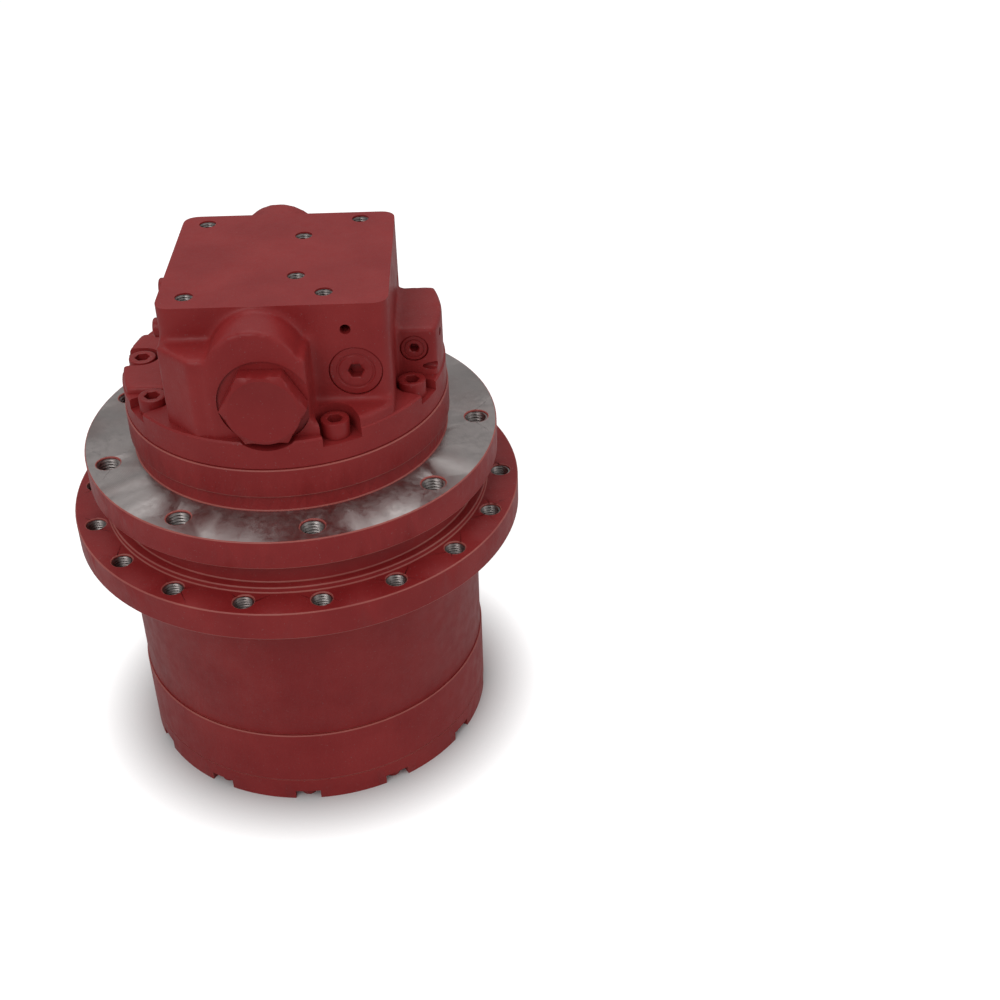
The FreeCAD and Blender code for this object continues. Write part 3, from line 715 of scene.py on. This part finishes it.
def aimed_turn(points: np.ndarray) -> np.ndarray:
    """Turns points of the rear cover's frame into the row's frame."""
    c, s = math.cos(BLOCK_TURN), math.sin(BLOCK_TURN)
    x, y, z = points[..., 0], points[..., 1], points[..., 2]
    return np.stack([c * x - s * y, s * x + c * y, z], axis=-1)


@dataclass
class Plugs(Assembly):
    """Hexagon plugs of the spool bore, flush socket plugs and the small side plugs."""

    spool: tuple[float, float] = (-1.0, 275.0)

    def build(self) -> None:
        """Makes each plug."""
        x, z = self.spool
        head = stacked([
            (Ring.ROUND, 32.7, -15.8), (Ring.ROUND, 32.7, 0.02), (Ring.HEX, 39.5, 0.02),
            (Ring.HEX, 41.0, 1.0), (Ring.HEX, 41.0, 9.3), (Ring.ROUND, 41.0, 10.6),
            (Ring.ROUND, 37.5, 10.95), (Ring.ROUND, 36.5, 10.7)], 72)
        for node, y, side in (("hex_plug_front", -86.5, -1.0), ("hex_plug_back", 80.5, 1.0)):
            piece = grid_object(node + "_finish", [aimed(head, turned(x, y, z), aimed_dir(0.0, side))])
            self.add(piece, "casing", Slot.PAINT, [self.finishes.deep], (node,))
        flush = self.socket_plug(29.7, 8.0, 11.6)
        place = turned(47.3, -50.0, 278.4)
        piece = grid_object("flush_plug_finish", [aimed(flush, place, aimed_dir(0.0, -1.0))])
        self.add(piece, "casing", Slot.PAINT, [self.finishes.deep], ("flush_plug",))
        small = self.socket_plug(16.3, 5.0, 11.6)
        place = turned(78.3, -14.0, 272.0)
        piece = grid_object("wing_plug_finish", [aimed(small, place, aimed_dir(0.0, -1.0))])
        self.add(piece, "casing", Slot.PAINT, [self.finishes.deep], ("wing_plug",))
        heads = []
        for y, height in ((-18.0, 311.5), (-47.0, 301.5)):
            grid = stacked([(Ring.ROUND, 11.0, 0.0), (Ring.ROUND, 11.0, 3.2), (Ring.ROUND, 9.6, 4.0),
                            (Ring.ROUND, 5.8, 4.0), (Ring.HEX, 5.0, 3.7), (Ring.HEX, 5.0, 1.4)])
            heads.append(aimed(grid, turned(-59.0, y, height), aimed_dir(-1.0, 0.0)))
        piece = grid_object("side_plugs_finish", heads)
        self.add(piece, "casing", Slot.PAINT, [self.finishes.deep], ("side_plugs",))

    def socket_plug(self, diameter: float, socket: float, face: float) -> np.ndarray:
        """Flush plug: chamfered face with a shallow groove and a hexagon socket with a dished mouth."""
        return stacked([
            (Ring.ROUND, diameter, 0.0), (Ring.ROUND, diameter, face - 0.8),
            (Ring.ROUND, diameter - 1.6, face),
            (Ring.ROUND, diameter * 0.74, face), (Ring.ROUND, diameter * 0.71, face - 0.5),
            (Ring.ROUND, diameter * 0.65, face - 0.5), (Ring.ROUND, diameter * 0.62, face),
            (Ring.ROUND, socket * 1.28, face), (Ring.HEX, socket, face - 0.6),
            (Ring.HEX, socket, face - 6.5)], 60)


@dataclass
class Internals(Assembly):
    """Gear train, bearings and motor parts, which keep their CAD shapes."""

    def build(self) -> None:
        """Gives each inner CAD node its finish."""
        choices = {Slot.GEAR.value: self.finishes.gear, Slot.BEARING.value: self.finishes.bearing,
                   Slot.MOTOR.value: self.finishes.gear, Slot.BRONZE.value: self.finishes.bronze,
                   Slot.PAINT.value: self.finishes.deep}
        for part in frame["record"]["subparts"]:
            node = frame["nodes"][part["node"]]
            for place in node.material_slots:
                place.material = choices[part["material_slot"]]


@dataclass(frozen=True)
class Studio:
    """White floor, soft lights and the camera."""

    lens: float = 53.57
    place: tuple[float, float, float] = (-0.0302, -0.7901, 0.6834)
    yaw: float = 0.1980
    pitch: float = 0.6015
    roll: float = -0.025

    def build(self) -> None:
        """Sets up the whole studio."""
        self.floor()
        self.world()
        self.light("key", (-0.9, -1.3, 1.5), 1.3, 13.0)
        self.light("fill", (1.5, -0.9, 0.8), 1.4, 5.0)
        self.light("top", (0.1, 0.5, 1.8), 1.6, 9.0)
        self.camera()
        bpy.context.scene.view_settings.view_transform = "Standard"

    def floor(self) -> None:
        """Large pale floor that looks white; its glow fades to nothing near the drive, a painted shade round
        and under the drive's foot, beside the rendered contact shadow.
        """
        mesh = bpy.data.meshes.new("floor")
        mesh.from_pydata([(-6, -6, 0), (6, -6, 0), (6, 6, 0), (-6, 6, 0)], [], [(0, 1, 2, 3)])
        floor = bpy.data.objects.new("floor", mesh)
        bpy.context.scene.collection.objects.link(floor)
        bench = NodeBench(bpy.data.materials.new("studio_white"))
        rays = bench.add("ShaderNodeLightPath")
        place = bench.add("ShaderNodeTexCoord").outputs["Object"]
        reach = bench.add("ShaderNodeVectorMath", operation="LENGTH", i0=place).outputs["Value"]
        # Painted shade: the camera glow falls from 0.72 at 0.15 m to nothing at 0.108 m from the axis,
        # darkening the floor round the drive and in its rim slots.
        level = bench.ramp(reach, 0.108, 0.15, 0.0, 0.72)
        camera_glow_with_painted_shade = bench.add("ShaderNodeMath", operation="MULTIPLY", i0=rays.outputs["Is Camera Ray"], i1=level)
        shader = bench.add("ShaderNodeBsdfPrincipled", Base_Color=rgb(0.62, 0.62, 0.62), Roughness=0.9,
                           Emission_Color=rgb(1.0, 1.0, 1.0), Emission_Strength=camera_glow_with_painted_shade.outputs[0])
        bench.add("ShaderNodeOutputMaterial", Surface=shader.outputs[0])
        mesh.materials.append(bench.material)
        floor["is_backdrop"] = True

    def world(self) -> None:
        """Pale world that shows white to the camera and in reflections."""
        world = bpy.data.worlds.new("studio")
        bpy.context.scene.world = world
        world.use_nodes = True
        tree = world.node_tree
        rays = tree.nodes.new("ShaderNodeLightPath")
        level = tree.nodes.new("ShaderNodeMapRange")
        level.inputs["To Min"].default_value = 0.36
        level.inputs["To Max"].default_value = 1.0
        tree.links.new(rays.outputs["Is Camera Ray"], level.inputs["Value"])
        back = tree.nodes["Background"]
        back.inputs["Color"].default_value = rgb(1.0, 1.0, 1.0)
        tree.links.new(level.outputs["Result"], back.inputs["Strength"])

    def light(self, name: str, place: tuple[float, float, float], size: float, power: float) -> None:
        """Square soft light aimed at the middle of the drive."""
        lamp = bpy.data.lights.new(name, "AREA")
        lamp.size = size
        lamp.energy = power
        thing = bpy.data.objects.new(name, lamp)
        bpy.context.scene.collection.objects.link(thing)
        thing.location = place
        thing.rotation_euler = (Vector((0, 0, 0.16)) - Vector(place)).to_track_quat("-Z", "Y").to_euler()

    def camera(self) -> None:
        """Camera turned by yaw from +Y towards +X, pitched down and rolled a little."""
        data = bpy.data.cameras.new("camera")
        data.lens = self.lens
        data.sensor_width = 36.0
        thing = bpy.data.objects.new("camera", data)
        bpy.context.scene.collection.objects.link(thing)
        bpy.context.scene.camera = thing
        ahead = Vector((math.sin(self.yaw) * math.cos(self.pitch), math.cos(self.yaw) * math.cos(self.pitch),
                        -math.sin(self.pitch)))
        right = ahead.cross(Vector(UP)).normalized()
        over = right.cross(ahead)
        side = right * math.cos(self.roll) + over * math.sin(self.roll)
        top = -right * math.sin(self.roll) + over * math.cos(self.roll)
        turn = Matrix((side, top, -ahead)).transposed().to_4x4()
        thing.matrix_world = Matrix.Translation(self.place) @ turn


def corners() -> list[list[float]]:
    """Lowest and highest corner of what is shown."""
    return [list(corner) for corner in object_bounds()]


def main() -> None:
    logging.basicConfig(level=logging.INFO, format="%(name)s: %(message)s")
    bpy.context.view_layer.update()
    finishes = Finishes.build()
    Internals(finishes).build()
    Casings(finishes).build()
    RearCover(finishes).build()
    Plugs(finishes).build()
    CapScrews(finishes).build()
    Threads(finishes).build()
    Studio().build()


if __name__ == "__main__":
    main()
